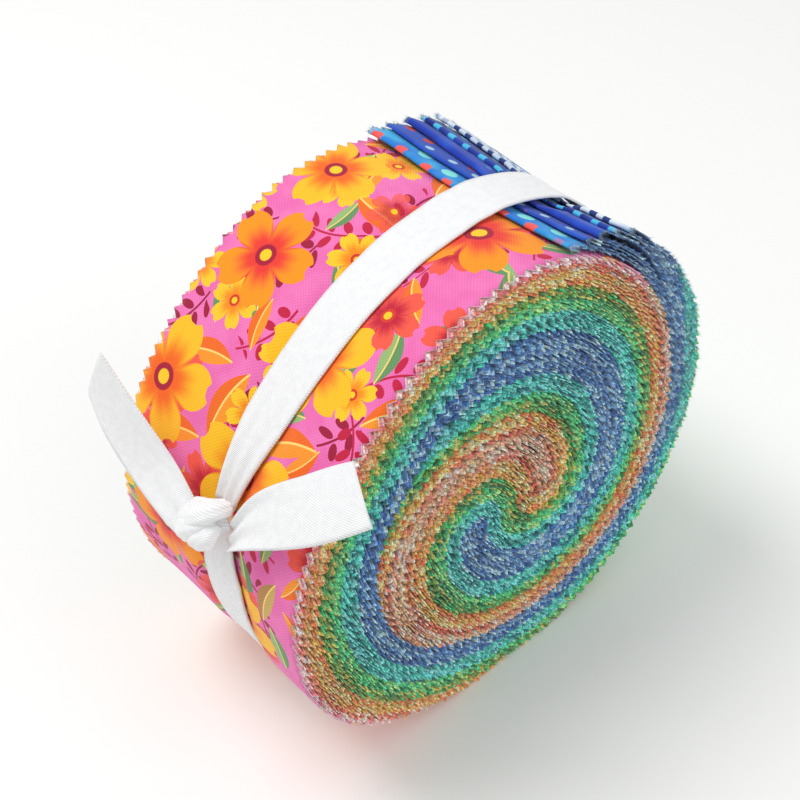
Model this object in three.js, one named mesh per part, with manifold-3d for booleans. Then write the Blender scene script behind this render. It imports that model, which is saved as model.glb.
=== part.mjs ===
// A roll of folded cotton strips tied with a twill ribbon.
// Millimetres, +Z up. The roll's axis lies along Y and its photographed end faces -Y.
import * as THREE from 'three';
import { mergeVertices } from 'three/addons/utils/BufferGeometryUtils.js';
import Module from 'manifold-3d';

const wasm = await Module();
wasm.setup();

// Forty strips, each 2.5 in wide and folded once, lie in one stack that is wound from an S in its middle.
const STRIP_WIDTH = 63.5;
const STACK = 24;
const TURN_GAP = 0.5;
const AXIS_HEIGHT = 59;
const STEP = 2.6;

// Degrees wound from the S to where each arm of the stack ends.
const LONG_END = 764;
const SHORT_END = 400;

// The strips end one after another, so each arm gets thinner along its last turn.
const LONG_TAPER = [
  { turn: 574, thick: STACK },
  { turn: 598, thick: 21 },
  { turn: 622, thick: 17 },
  { turn: 662, thick: 14.2 },
  { turn: 700, thick: 12 },
  { turn: 734, thick: 12 },
  { turn: LONG_END, thick: 8.3 },
];
const SHORT_TAPER = [
  { turn: 262, thick: STACK },
  { turn: 283, thick: 18.5 },
  { turn: 304, thick: 11.5 },
  { turn: 354, thick: 5.5 },
  { turn: 396, thick: 2 },
  { turn: 415, thick: 0 },
];
const TAPER_BLEND = [-12, -8, -4, 0, 4, 8, 12];

// How the wound stack settles: narrower on the right, lower at the bottom, and flat where it stands.
const SETTLE = { shift: -2.5, across: 0.97, right: 0.03, tall: 0.958, low: 0.022, reach: 65 };
const FLAT = { middle: 3, press: 1.3, round: 61, level: 60, depth: 26 };

// Towards its back the roll leans over to the right and gets a little lower.
const LEAN = { over: 2.1, low: 0.017 };

// The strips' loose folded ends, from the longest, innermost one outwards.
const END_THICK = 1.0;
const END_PITCH = 1.3;
const END_GAP = 0.3;
const END_ROOT = 404.6;
const ENDS = [
  { stop: 429.5, skew: 1, colour: 0x3fb4d8 },
  { stop: 425.5, skew: 0.8, colour: 0xe9eef0 },
  { stop: 421.5, skew: 0.6, colour: 0x2a5db0 },
  { stop: 417.5, skew: 0.6, colour: 0x2c7fb8 },
  { stop: 413.5, skew: 0.6, colour: 0x2450a4 },
];
const FLARE = { pitch: 0.3, back: 1.0, front: 1.2, flat: 9 };

// The ribbon: a twill tape pressed into the cloth all round and lying over the loose ends.
const RIBBON = { width: 14.5, thick: 1.0, sunk: 1.7, clear: 0.3, from: 508, to: 163 };
const RIBBON_LIFT = [
  { turn: 380, lift: -RIBBON.sunk },
  { turn: 404, lift: -1.6 },
];
const RIBBON_OVER_ENDS = [
  { turn: 404, lift: 6.95 },
  { turn: 413.5, lift: 7 },
  { turn: 429.5, lift: 1.8 },
  { turn: 440, lift: -RIBBON.sunk },
];
const RIBBON_ROUTE = [
  { turn: RIBBON.to, y: -5, share: 0.5 },
  { turn: 177, y: -5, share: 0.9 },
  { turn: 300, y: -5.5, share: 0.9 },
  { turn: 400, y: -5.5, share: 0.9 },
  { turn: 435, y: -5, share: 0.9 },
  { turn: 456, y: -6.7, share: 0.88 },
  { turn: 475, y: -6.3, share: 0.86 },
  { turn: 490, y: -5.3, share: 0.76 },
  { turn: RIBBON.from, y: -4.8, share: 0.5 },
];

const KNOT = { turn: 515.5, y: -4.8, along: 6.8, across: 7.4, proud: 5.2, ridge: 0.1, steps: 28 };

// The ribbon's free tails, as points along the middle of each and the way its width runs there.
const TAIL = { thick: 1.0, steps: 14, columns: 4 };
const FRONT_TAIL = [
  { at: [-68.6, -12.8, 83.4], across: [0.36, 0.12, 0.92], share: 0.5 },
  { at: [-66.2, -18.7, 91.1], across: [0.46, 0.17, 0.87], share: 0.9 },
  { at: [-61.6, -29.8, 99.4], across: [0.51, 0.5, 0.7], share: 1 },
  { at: [-55.0, -39.8, 107.2], across: [0.4, 0.84, 0.35], share: 1 },
];
const BACK_TAIL = [
  { at: [-69.8, 3.6, 82.2], across: [0.42, -0.3, 0.85], share: 0.5 },
  { at: [-69.8, 13.4, 85.6], across: [0.39, -0.61, 0.69], share: 0.95 },
  { at: [-70.7, 23.0, 94.1], across: [0.28, -0.55, 0.79], share: 1 },
  { at: [-71.5, 30.3, 102.8], across: [0.13, -0.35, 0.93], share: 1 },
];

const radians = THREE.MathUtils.degToRad;

// The value of a table's column at a turn, straight between its rows and level beyond them.
function between(rows, turn, column) {
  const next = rows.findIndex((row) => row.turn >= turn);
  if (next === 0) return rows[0][column];
  if (next < 0) return rows[rows.length - 1][column];
  const [a, b] = [rows[next - 1], rows[next]];
  return THREE.MathUtils.mapLinear(turn, a.turn, b.turn, a[column], b[column]);
}

// How thick an arm is at a turn: its taper's rows, with their corners blended.
function thickness(rows, turn) {
  if (turn < 0) return 0;
  const near = TAPER_BLEND.map((more) => between(rows, turn + more, 'thick'));
  return near.reduce((sum, thick) => sum + thick) / near.length;
}

const longThick = (turn) => thickness(LONG_TAPER, turn);
const shortThick = (turn) => thickness(SHORT_TAPER, turn);

// Each turn lies on the two that were wound before it, so its inner radius is the sum of what is under it.
function longBase(turn) {
  return turn < 0 ? 0 : longBase(turn - 360) + longThick(turn - 360) + shortThick(turn - 180);
}

function shortBase(turn) {
  return turn < 0 ? 0 : shortBase(turn - 360) + shortThick(turn - 360) + longThick(turn - 180);
}

// Squash the wound stack as its own weight and the ribbon do, and press a flat spot under it.
function settle(x, z) {
  const sx = x * (SETTLE.across - (SETTLE.right * x) / SETTLE.reach) + SETTLE.shift;
  const sz = z * (SETTLE.tall + (SETTLE.low * z) / SETTLE.reach);
  const dent = Math.max(0, FLAT.press - (sx - FLAT.middle) ** 2 / (2 * FLAT.round));
  const share = THREE.MathUtils.clamp((FLAT.depth - FLAT.level - sz) / FLAT.depth, 0, 1.1);
  return [sx, sz + dent * share + AXIS_HEIGHT];
}

// A point on an arm of the stack. Its half turns are arcs about the two folds of the S in turn.
function windingPoint(arm, turn, offset) {
  const half = Math.floor(turn / 180);
  const long = arm === 'long';
  const centre = (half % 2 === 0) === long ? -STACK / 2 : STACK / 2;
  const radius = (long ? longBase(turn) : shortBase(turn)) + offset;
  const bearing = radians(long ? turn : turn + 180);
  return settle(centre + radius * Math.cos(bearing), radius * Math.sin(bearing));
}

// One side of an arm as points about STEP apart, from one turn to another.
function armSide(arm, offsetAt, end) {
  const points = [];
  for (let turn = 0; turn < end; ) {
    points.push(windingPoint(arm, turn, offsetAt(turn)));
    const radius = (arm === 'long' ? longBase(turn) : shortBase(turn)) + offsetAt(turn);
    turn += THREE.MathUtils.radToDeg(STEP / Math.max(radius, STEP));
  }
  points.push(windingPoint(arm, end, offsetAt(end)));
  return points;
}

function stackOutline() {
  const near = () => TURN_GAP / 2;
  const longFar = (turn) => longThick(turn) - TURN_GAP / 2;
  const shortFar = (turn) => shortThick(turn) - TURN_GAP / 2;
  return [
    ...armSide('long', near, LONG_END),
    ...armSide('long', longFar, LONG_END).reverse(),
    ...armSide('short', near, SHORT_END).slice(1),
    ...armSide('short', shortFar, SHORT_END).reverse().slice(0, -1),
  ];
}

function toManifold(geometry) {
  const bare = geometry.clone();
  bare.deleteAttribute('normal');
  bare.deleteAttribute('uv');
  const merged = mergeVertices(bare, 1e-5);
  return new wasm.Manifold(
    new wasm.Mesh({
      numProp: 3,
      vertProperties: new Float32Array(merged.attributes.position.array),
      triVerts: new Uint32Array(merged.index.array),
    }),
  );
}

function toGeometry(solid) {
  const { vertProperties, triVerts } = solid.getMesh();
  const geometry = new THREE.BufferGeometry();
  geometry.setAttribute('position', new THREE.BufferAttribute(vertProperties, 3));
  geometry.setIndex(new THREE.BufferAttribute(triVerts, 1));
  geometry.computeVertexNormals();
  return geometry;
}

function extrudeAlongY(outline, width) {
  const shape = new THREE.Shape(outline.map(([x, z]) => new THREE.Vector2(x, z)));
  const geometry = new THREE.ExtrudeGeometry(shape, { depth: width, bevelEnabled: false });
  return geometry.rotateX(Math.PI / 2).translate(0, width / 2, 0);
}

// A closed sheet: faceAt(u, v, side) gives its upper (side 1) and lower (side 0) face, u and v from 0 to 1.
function sheetGeometry(rows, columns, faceAt) {
  const positions = [];
  const index = [];
  const at = (side, i, j) => side * (rows + 1) * (columns + 1) + i * (columns + 1) + j;
  const quad = (a, b, c, d) => index.push(a, b, c, a, c, d);
  for (const side of [0, 1]) {
    for (let i = 0; i <= rows; i += 1) {
      for (let j = 0; j <= columns; j += 1) positions.push(...faceAt(i / rows, j / columns, side));
    }
  }
  for (let i = 0; i < rows; i += 1) {
    for (let j = 0; j < columns; j += 1) {
      quad(at(1, i, j), at(1, i + 1, j), at(1, i + 1, j + 1), at(1, i, j + 1));
      quad(at(0, i, j), at(0, i, j + 1), at(0, i + 1, j + 1), at(0, i + 1, j));
    }
    quad(at(1, i, 0), at(0, i, 0), at(0, i + 1, 0), at(1, i + 1, 0));
    quad(at(1, i, columns), at(1, i + 1, columns), at(0, i + 1, columns), at(0, i, columns));
  }
  for (let j = 0; j < columns; j += 1) {
    quad(at(1, 0, j), at(1, 0, j + 1), at(0, 0, j + 1), at(0, 0, j));
    quad(at(1, rows, j), at(0, rows, j), at(0, rows, j + 1), at(1, rows, j + 1));
  }
  const geometry = new THREE.BufferGeometry();
  geometry.setAttribute('position', new THREE.Float32BufferAttribute(positions, 3));
  geometry.setIndex(index);
  geometry.computeVertexNormals();
  return geometry;
}

// The outer face of the roll at a bearing: the printed turn up to where the long arm stops, then that arm.
function aboveRoll(bearing, lift) {
  if (bearing >= LONG_END - 360) return windingPoint('long', bearing, STACK + lift);
  return windingPoint('long', bearing + 360, longThick(bearing + 360) + lift);
}

function ribbonLift(bearing) {
  const rows = bearing < LONG_END - 360 ? RIBBON_LIFT : RIBBON_OVER_ENDS;
  return between(rows, bearing, 'lift');
}

// The ribbon's band, or, with a clearance, the tool that cuts its groove in the roll.
function bandGeometry(clear, above) {
  return sheetGeometry(130, 1, (u, v, side) => {
    const bearing = THREE.MathUtils.lerp(RIBBON.from, RIBBON.to, u);
    const half = (RIBBON.width / 2) * between(RIBBON_ROUTE, bearing, 'share') + clear;
    const lift = ribbonLift(bearing) + (side === 1 ? RIBBON.thick + above : -clear);
    const [x, z] = aboveRoll(bearing, lift);
    return [x, between(RIBBON_ROUTE, bearing, 'y') + (2 * v - 1) * half, z];
  });
}

function rollGeometry() {
  const wound = toManifold(extrudeAlongY(stackOutline(), STRIP_WIDTH));
  const floor = new THREE.BoxGeometry(4 * AXIS_HEIGHT, 2 * STRIP_WIDTH, 10).translate(0, 0, -5);
  const groove = bandGeometry(RIBBON.clear, 8);
  return toGeometry(wound.subtract(toManifold(floor)).subtract(toManifold(groove)));
}

// One folded strip end: flat under the ribbon, looser and lifted towards its front and back edges.
function stripEndGeometry(place, end) {
  return sheetGeometry(9, 10, (u, v, side) => {
    const y = (v - 0.5) * STRIP_WIDTH;
    const stop = end.stop + end.skew * (2 * v - 1);
    const bearing = THREE.MathUtils.lerp(stop, END_ROOT, u);
    const off = Math.max(0, Math.abs(y - between(RIBBON_ROUTE, bearing, 'y')) - FLARE.flat);
    const free = Math.min(1, off / (STRIP_WIDTH / 2 - FLARE.flat));
    const rise = (y > 0 ? FLARE.back : FLARE.front) * free ** 2;
    const tip = THREE.MathUtils.smoothstep(bearing, END_ROOT, ENDS[0].stop);
    const lift = END_GAP + place * (END_PITCH + FLARE.pitch * free) + rise * tip;
    const [x, z] = aboveRoll(bearing, lift + side * END_THICK);
    return [x, y, z];
  });
}

// A rounded lump with the ridges of two wraps that cross over each other.
function knotGeometry() {
  const [x, z] = aboveRoll(KNOT.turn, KNOT.proud + RIBBON.clear);
  const [footX, footZ] = aboveRoll(KNOT.turn, 0);
  const out = Math.atan2(z - footZ, x - footX);
  const geometry = new THREE.SphereGeometry(1, KNOT.steps, KNOT.steps / 2);
  const position = geometry.attributes.position;
  const point = new THREE.Vector3();
  for (let i = 0; i < position.count; i += 1) {
    point.fromBufferAttribute(position, i);
    const wrap = Math.cos(7 * point.x + 3 * point.y) * Math.max(0, point.z);
    point.multiplyScalar(1 + KNOT.ridge * wrap);
    position.setXYZ(i, KNOT.proud * point.z, KNOT.across * point.x, KNOT.along * point.y);
  }
  return geometry.rotateY(-out).translate(x, KNOT.y, z);
}

function tailGeometry(rows) {
  const middle = new THREE.CatmullRomCurve3(rows.map((row) => new THREE.Vector3(...row.at)));
  const last = rows.length - 1;
  return sheetGeometry(TAIL.steps, TAIL.columns, (u, v, side) => {
    const place = Math.min(u * last, last - 1e-9);
    const [a, b] = [rows[Math.floor(place)], rows[Math.floor(place) + 1]];
    const part = place - Math.floor(place);
    const across = new THREE.Vector3(...a.across).lerp(new THREE.Vector3(...b.across), part).normalize();
    const out = middle.getTangent(u).cross(across).normalize();
    const half = (RIBBON.width / 2) * THREE.MathUtils.lerp(a.share, b.share, part);
    return middle
      .getPoint(u)
      .addScaledVector(across, (2 * v - 1) * half)
      .addScaledVector(out, (side - 0.5) * TAIL.thick)
      .toArray();
  });
}

function lean(geometry) {
  const position = geometry.attributes.position;
  for (let i = 0; i < position.count; i += 1) {
    const back = 0.5 + position.getY(i) / STRIP_WIDTH;
    position.setX(i, position.getX(i) + LEAN.over * back);
    position.setZ(i, position.getZ(i) * (1 - LEAN.low * back));
  }
  return geometry;
}

function piece(name, geometry, colour) {
  const material = new THREE.MeshStandardMaterial({ color: colour, roughness: 0.9, metalness: 0 });
  const mesh = new THREE.Mesh(lean(geometry), material);
  mesh.name = name;
  return mesh;
}

const WHITE = 0xf4f3f0;
const part = new THREE.Group();
part.add(piece('roll', rollGeometry(), 0x4f9a86));
ENDS.forEach((end, place) => {
  part.add(piece(`strip_end_${place + 1}`, stripEndGeometry(place, end), end.colour));
});
part.add(piece('ribbon_band', bandGeometry(0, 0), WHITE));
part.add(piece('ribbon_knot', knotGeometry(), WHITE));
part.add(piece('ribbon_tail_front', tailGeometry(FRONT_TAIL), WHITE));
part.add(piece('ribbon_tail_back', tailGeometry(BACK_TAIL), WHITE));

// The origin is the middle of the box's foot.
part.updateMatrixWorld(true);
const box = new THREE.Box3().setFromObject(part, true);
part.position.set(-(box.min.x + box.max.x) / 2, -(box.min.y + box.max.y) / 2, -box.min.z);

export default part;
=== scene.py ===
"""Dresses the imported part: forty pinked cotton strips wound together, tied with a knotted twill ribbon."""

import math

import bpy
import numpy as np
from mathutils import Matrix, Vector


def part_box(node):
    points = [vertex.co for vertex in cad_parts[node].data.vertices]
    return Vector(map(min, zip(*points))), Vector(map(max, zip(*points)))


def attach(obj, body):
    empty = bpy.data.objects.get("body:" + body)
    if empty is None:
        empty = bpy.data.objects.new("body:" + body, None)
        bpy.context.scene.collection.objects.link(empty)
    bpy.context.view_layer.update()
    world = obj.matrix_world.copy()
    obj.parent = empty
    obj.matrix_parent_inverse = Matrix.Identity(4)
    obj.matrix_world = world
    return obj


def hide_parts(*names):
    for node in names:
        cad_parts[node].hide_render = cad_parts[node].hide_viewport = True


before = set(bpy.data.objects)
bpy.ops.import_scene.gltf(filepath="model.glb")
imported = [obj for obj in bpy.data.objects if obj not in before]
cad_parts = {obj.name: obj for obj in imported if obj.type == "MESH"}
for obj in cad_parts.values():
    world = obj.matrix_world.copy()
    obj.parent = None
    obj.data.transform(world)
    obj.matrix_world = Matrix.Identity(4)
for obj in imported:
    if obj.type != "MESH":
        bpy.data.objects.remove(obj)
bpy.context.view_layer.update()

# Millimetres, as in the part's source, from the middle of the roll's width. ORIGIN takes them to the row
# frame, and CLOTH is the cloth's thickness.
ORIGIN = np.array([4.2324, 6.5151, 0.0])
STRIP_WIDTH = 63.5
STRIPS = 40
STACK = 24.0
STRIP_PITCH = STACK / STRIPS
CLOTH = 0.23
AXIS_HEIGHT = 59.0

# Degrees wound from the S against the stack's thickness there, and the steps over which it is evened out.
LONG_TAPER = np.array([
    [574, 24], [598, 21], [622, 17], [662, 14.2], [700, 12], [734, 12], [764, 8.3],
])
SHORT_TAPER = np.array([
    [262, 24], [283, 18.5], [304, 11.5], [354, 5.5], [396, 2], [415, 0],
])
TAPER_BLEND = [-12, -8, -4, 0, 4, 8, 12]
LONG_FULL = LONG_TAPER[0, 0]

# Degrees at which the strips of the long arm end, against their height in the stack.
STRIP_STOPS = np.array([
    [3.0, 763], [11.6, 735], [12, 700], [14.2, 662], [17, 622], [21, 598], [24, 574],
])

# The squash of the wound stack, and the flat spot under it.
SHIFT, ACROSS, RIGHT, TALL, LOW, REACH = -2.5, 0.97, 0.03, 0.958, 0.022, 65.0
FLAT_MIDDLE, FLAT_PRESS, FLAT_ROUND, FLAT_LEVEL, FLAT_DEPTH = 3.0, 1.3, 61.0, 60.0, 26.0

# How far the roll leans over and sinks at its back, the millimetres over which low points ease towards the
# floor, and the metres by which they stay clear of it.
LEAN_OVER, LEAN_LOW = 2.1, 0.017
FLOOR_EASE = 1.0
FLOOR_CLEAR = 0.00005

# How far the middle layers are crowded towards the stack's inner face in the S, and where that eases.
CORE_CROWD, CORE_FULL, CORE_EASED = 2.2, 130, 330

# The turn from which the roll's outside shows, how deep its strips do, where its larger waves begin, and the
# margin inside the stack's two faces.
RIM_FROM, SHOWN_DEPTH = 398, 3.2
RIM_EASE = (404, 430)
STACK_MARGIN = 0.1

# Where the last layers loosen, and how much further apart they lie: under the ribbon, beside it and towards
# the roll's ends. The two widths are measured from the ribbon's edge and from its middle.
LOOSEN_FROM, LOOSEN_TO = 732, 768
LOOSEN_UNDER, LOOSEN_BESIDE, LOOSEN_FREE = 0.42, 0.28, 0.3
BESIDE_WIDTH, FREE_FROM = 6, 9

# The loose folded ends, innermost first: where each stops, how far its fold is turned and how full it is.
LOOSE_ROOT = 764.6
LOOSE_ENDS = [
    (789.5, 1.0, 0.20), (785.5, 0.8, 0.12), (781.5, 0.6, 0.44), (777.5, 0.6, 0.26), (773.5, 0.6, 0.22),
]

# From where they are drawn in full and from where they lift, their clearance, the gap in each fold, their
# rise at the roll's back and front, and how far their folds wander.
LOOSE_FROM, LIFT_FROM = 728, 726
LOOSE_CLEAR, LOOSE_GAP, LOOSE_RISE = 0.15, 0.06, (1.0, 1.2)
SKEW_FROM, SKEW_WANDER = 742, 1.1

# How the ribbon presses on the layers under it: where that starts and ends, how far inside and outside its
# edges it eases, how deep it reaches, and how much further than the ribbon it goes.
PRESS_START, PRESS_END = (431, 443), (735, 762)
PRESS_INSIDE, PRESS_OUTSIDE, PRESS_DEPTH, PRESS_MORE = 0.3, 4.5, 20, 0.1

# Waves of the cloth, fine ones everywhere and broad ones outside: the seed, size, slant and step of each.
FINE_WAVES = [(300, 0.10, 0.3, 17), (301, 0.05, -0.5, 9)]
BROAD_WAVES = [(50, 0.28, 0.55, 31), (51, 0.16, -0.8, 14)]

# Seeds of the other random draws.
STRIP_SEED, SLIP_SEED, DRIFT_SEED, FOLD_SEED, FULL_SEED = 200, 600, 700, 800, 820
MIX_SEED, TOOTH_SEED, FRAY_SEED, TAPE_SEED = 900, 1200, 40, 21

# The turns from which their own prints and the outer strip's show.
LOOSE_SHOWN = 740.0
OUTER_SHOWN = 402.0

# The pinked edge: its pitch and depth, how far its teeth drift and vary, and the degrees that it keeps clear
# at a layer's ends.
TOOTH_PITCH = 3.2
TOOTH_DEPTH = 1.7
TOOTH_DRIFT, TOOTH_UNEVEN, TOOTH_FLICK = 0.7, 0.25, 0.16
TOOTH_CLEAR = 0.8

# The threads that have frayed out of it: how many for each of its points, their lengths, thickness and root,
# their lean and the most chalk in them. Past the free turn there are more, longer, wilder and paler ones.
FRAY_SHARE = 0.95
FRAY_SHORT, FRAY_LONG = 0.45, 1.15
FRAY_THICK, FRAY_ROOT = 0.11, 0.4
FRAY_LEAN, FRAY_CHALK = 0.5, 0.7
FRAY_FREE = 700.0
FREE_MORE, FREE_LONGER, FREE_WILDER, FREE_PALER = 4.5, 1.3, 1.6, 0.5

# Turns before the first of these are a winding further on along the ribbon. Past the second it lies on the
# winding below.
TAPE_SEAM, LONG_GONE = 515, 770

# The ribbon: its height over the loose ends, above the stack's inner face, and its route as turn, place along
# the roll and share of its full width.
TAPE_WIDTH = 14.5
TAPE_THICK = 0.5
TAPE_SUNK = 1.5
TAPE_KNOT_END = 873.0
TAPE_START = 520.0
BAND_ROWS, BAND_COLUMNS = 300, 13
TAPE_OVER_ENDS = np.array([
    [734, 10.5], [742, 9.6], [750, 8.1], [757, 6.9], [764, 6.0], [773, 5.8], [777.5, 4.8], [781.5, 3.8],
    [785.5, 2.8], [789.5, 1.8], [793, 0.4], [800, -1.2], [804, -TAPE_SUNK],
])
TAPE_ROUTE = np.array([
    [520, -5, 0.5], [534, -5, 0.9], [660, -5.5, 0.9], [760, -5.5, 0.9], [795, -5, 0.9], [816, -6.7, 0.88],
    [835, -6.3, 0.86], [852, -5.3, 0.8], [873, -4.2, 0.46],
])


def smooth(low, high, value):
    """0 below low, 1 above high, and an even slope between."""
    share = np.clip((value - low) / (high - low), 0, 1)
    return share * share * (3 - 2 * share)


def wander(seed, at, step):
    """Seeded smooth noise from -1 to 1, with a new value each step."""
    knots = np.random.default_rng(seed).uniform(-1, 1, 997)
    place = np.asarray(at, float) / step + 5000
    low = np.floor(place).astype(int)
    part = smooth(0, 1, place - low)
    return knots[low % 997] * (1 - part) + knots[(low + 1) % 997] * part


def thickness(table, turn):
    near = sum(np.interp(turn + more, table[:, 0], table[:, 1]) for more in TAPER_BLEND)
    return np.where(turn < 0, 0.0, near / len(TAPER_BLEND))


def long_thick(turn):
    return thickness(LONG_TAPER, turn)


def short_thick(turn):
    return thickness(SHORT_TAPER, turn)


def base(turn, own, other):
    """How much lies under an arm at a turn: all that was wound there before it."""
    return sum(own(turn - 360 * (m + 1)) + other(turn - 360 * m - 180) for m in range(3))


def settle(x, z):
    """The squash of the wound stack, with the flat spot under it."""
    sx = x * (ACROSS - RIGHT * x / REACH) + SHIFT
    sz = z * (TALL + LOW * z / REACH)
    dent = np.maximum(0, FLAT_PRESS - (sx - FLAT_MIDDLE) ** 2 / (2 * FLAT_ROUND))
    share = np.clip((FLAT_DEPTH - FLAT_LEVEL - sz) / FLAT_DEPTH, 0, 1.1)
    return sx, sz + dent * share + AXIS_HEIGHT


def winding(turn, height):
    """A point of the stack in the end plane. The long arm's turns are above 0, the short arm's below."""
    turn = np.asarray(turn, float)
    long = turn >= 0
    way = np.abs(turn)
    even = np.floor(way / 180) % 2 == 0
    centre = np.where(even == long, -STACK / 2, STACK / 2)
    under = np.where(long, base(way, long_thick, short_thick), base(way, short_thick, long_thick))
    radius = under + np.where(long, height, STACK - height)
    bearing = np.radians(way + np.where(long, 0, 180))
    return settle(centre + radius * np.cos(bearing), radius * np.sin(bearing))


def tape_height(turn):
    """The underside of the ribbon over the inner face of the long arm's last turn."""
    plain = np.where(turn > LONG_GONE, -TAPE_SUNK, long_thick(turn) - TAPE_SUNK)
    turns, heights = TAPE_OVER_ENDS.T
    return np.where((turn > turns[0]) & (turn < turns[-1]), np.interp(turn, turns, heights), plain)


def along_tape(turn, column):
    """A column of the ribbon's route at any turn of the roll's outside."""
    on_tape = np.where(turn < TAPE_SEAM, turn + 360, turn)
    return np.interp(on_tape, TAPE_ROUTE[:, 0], TAPE_ROUTE[:, column])


def tape_y(turn):
    return along_tape(turn, 1)


def tape_half(turn):
    return TAPE_WIDTH / 2 * along_tape(turn, 2)


def in_frame(x, y, z):
    """Millimetres in the roll's own place, leaning as it does, as metres in the row frame."""
    back = 0.5 + y / STRIP_WIDTH
    low = np.minimum(z, FLOOR_EASE)
    eased = np.where(z < FLOOR_EASE, FLOOR_EASE * np.exp(low / FLOOR_EASE - 1), z)
    points = np.stack([x + LEAN_OVER * back, y, eased * (1 - LEAN_LOW * back)], -1)
    return (points + ORIGIN) / 1000


def is_loose(place):
    return place < len(LOOSE_ENDS)


def strip_stop(place):
    """The turn at which a strip is folded back, by its place in the stack."""
    if is_loose(place):
        return LOOSE_ENDS[place][0]
    return float(np.interp((place + 0.5) * STRIP_PITCH, STRIP_STOPS[:, 0], STRIP_STOPS[:, 1]))


def short_stop(height):
    """The turn of the short arm at which a layer's cut end lies."""
    return -float(np.interp(STACK - height, SHORT_TAPER[::-1, 1], SHORT_TAPER[::-1, 0]))


def middle_height(place, turn, y):
    """The height of a strip's middle in the stack, and half the distance between its two layers."""
    share = (place + 0.5) / STRIPS
    crowd = CORE_CROWD * (1 - smooth(CORE_FULL, CORE_EASED, np.abs(turn)))
    plain = share * STACK - crowd * 4 * share * (1 - share)
    half = STRIP_PITCH / 4 * (1 - crowd * 4 * (1 - 2 * share) / STACK)
    off = np.abs(y - tape_y(turn))
    beside = smooth(tape_half(turn), tape_half(turn) + BESIDE_WIDTH, off)
    free = np.clip((off - FREE_FROM) / (STRIP_WIDTH / 2 - FREE_FROM), 0, 1)
    loosened = smooth(LOOSEN_FROM, LOOSEN_TO, turn)
    pitch = STRIP_PITCH + loosened * (LOOSEN_UNDER + LOOSEN_BESIDE * beside + LOOSEN_FREE * free)
    if not is_loose(place):
        return plain + len(LOOSE_ENDS) * (pitch - STRIP_PITCH), half
    tip = smooth(LOOSE_ROOT, LOOSE_ENDS[0][0], turn)
    rise = np.where(y > 0, *LOOSE_RISE) * free**2 * tip
    lifted = LOOSE_CLEAR + (place + 0.5) * pitch + rise
    full = LOOSE_ENDS[place][2] * (1 + 0.5 * wander(FULL_SEED + place, y, 15))
    half = half + loosened * (LOOSE_GAP + full * beside)
    return plain + (lifted - plain) * smooth(LIFT_FROM, LOOSEN_TO, turn), half


def stack_top(turn):
    """The height of the long arm's outer face in the stack."""
    return np.where(turn < LONG_FULL, STACK, long_thick(turn))


def pressed(turn, y, height):
    """A height in the stack, lowered where the ribbon presses on the layers under it."""
    half = tape_half(turn)
    under_tape = 1 - smooth(half - PRESS_INSIDE, half + PRESS_OUTSIDE, np.abs(y - tape_y(turn)))
    push = (TAPE_SUNK + PRESS_MORE) * smooth(*PRESS_START, turn) * (1 - smooth(*PRESS_END, turn))
    give = np.clip(1 - (stack_top(turn) - height) / PRESS_DEPTH, 0, 1) ** 2
    return height - under_tape * push * give


def waves(table, along, y):
    return sum(size * wander(seed, along + slant * y, step) for seed, size, slant, step in table)


def ripple(turn, y):
    """The cloth's own unevenness, which is larger on the outside of the roll."""
    outer = smooth(*RIM_EASE, turn)
    along = np.abs(turn) * np.minimum(1.1, 0.25 + np.abs(turn) / 500)
    edges = smooth(0, 12, STRIP_WIDTH / 2 - np.abs(y))
    clear = smooth(0, 7, np.abs(y - tape_y(turn)) - tape_half(turn))
    broad = outer * edges * clear * waves(BROAD_WAVES, along, y)
    return broad + waves(FINE_WAVES, along, y) * (1 - 0.5 * outer)


def rgb(r, g, b):
    """A colour on a 0 to 255 screen scale as the linear one that a shader takes."""
    screen = np.array([r, g, b]) / 255
    return np.where(screen <= 0.04045, screen / 12.92, ((screen + 0.055) / 1.055) ** 2.4)


NAVY, SLATE, MIST, ROYAL = rgb(40, 84, 142), rgb(60, 124, 172), rgb(168, 204, 222), rgb(34, 98, 164)
TEAL, SEA, DEEP, AQUA = rgb(20, 158, 152), rgb(90, 216, 192), rgb(12, 104, 116), rgb(132, 228, 220)
FOREST, LEAF, LIME, MOSS = rgb(18, 108, 68), rgb(52, 188, 114), rgb(164, 228, 128), rgb(88, 200, 140)
OLIVE, GOLD = rgb(112, 162, 68), rgb(220, 184, 88)
ORANGE, EMBER, PEACH, BRICK = rgb(252, 170, 74), rgb(248, 140, 72), rgb(254, 214, 158), rgb(226, 104, 66)
ROSE, BLUSH, PLUM, CORAL = rgb(254, 138, 116), rgb(254, 214, 192), rgb(228, 92, 74), rgb(254, 156, 98)
CHALK, PETAL, MAUVE = rgb(254, 250, 246), rgb(252, 172, 164), rgb(206, 92, 116)

# The strips' colours from the stack's inner face outwards: up to which share of it, and each strip's mix.
MIXES = [
    (0.26, [NAVY, SLATE, MIST, ROYAL]),
    (0.45, [TEAL, SEA, DEEP, AQUA]),
    (0.57, [FOREST, LEAF, LIME, MOSS]),
    (0.70, [LEAF, OLIVE, GOLD, FOREST]),
    (0.86, [ORANGE, EMBER, PEACH, BRICK]),
    (0.93, [ROSE, BLUSH, PLUM, CORAL]),
    (1.01, [ROSE, PETAL, BLUSH, CORAL]),
]

# Teeth with a tone below the first of these have a strip's third colour, and above the second its fourth.
THIRD_BELOW, FOURTH_ABOVE = 0.22, 0.86

# The painted light and shade on a tooth: its share in the hollow, how much more at the tip, how far it varies
# and the least, the painted highlight at all tips and the further one at loose ones, and how much of the
# tooth's colour is left in the painted shade just inside the cut, on wound and on loose strips.
LIGHT_HOLLOW, LIGHT_TIP, LIGHT_VARIES, LIGHT_LEAST = 0.2, 1.35, 0.26, 0.1
TIP_HIGHLIGHT, TIP_HIGHLIGHT_LOOSE = 0.05, 0.03
INSET_SHADE_WOUND, INSET_SHADE_LOOSE = 0.13, 0.5
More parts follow.
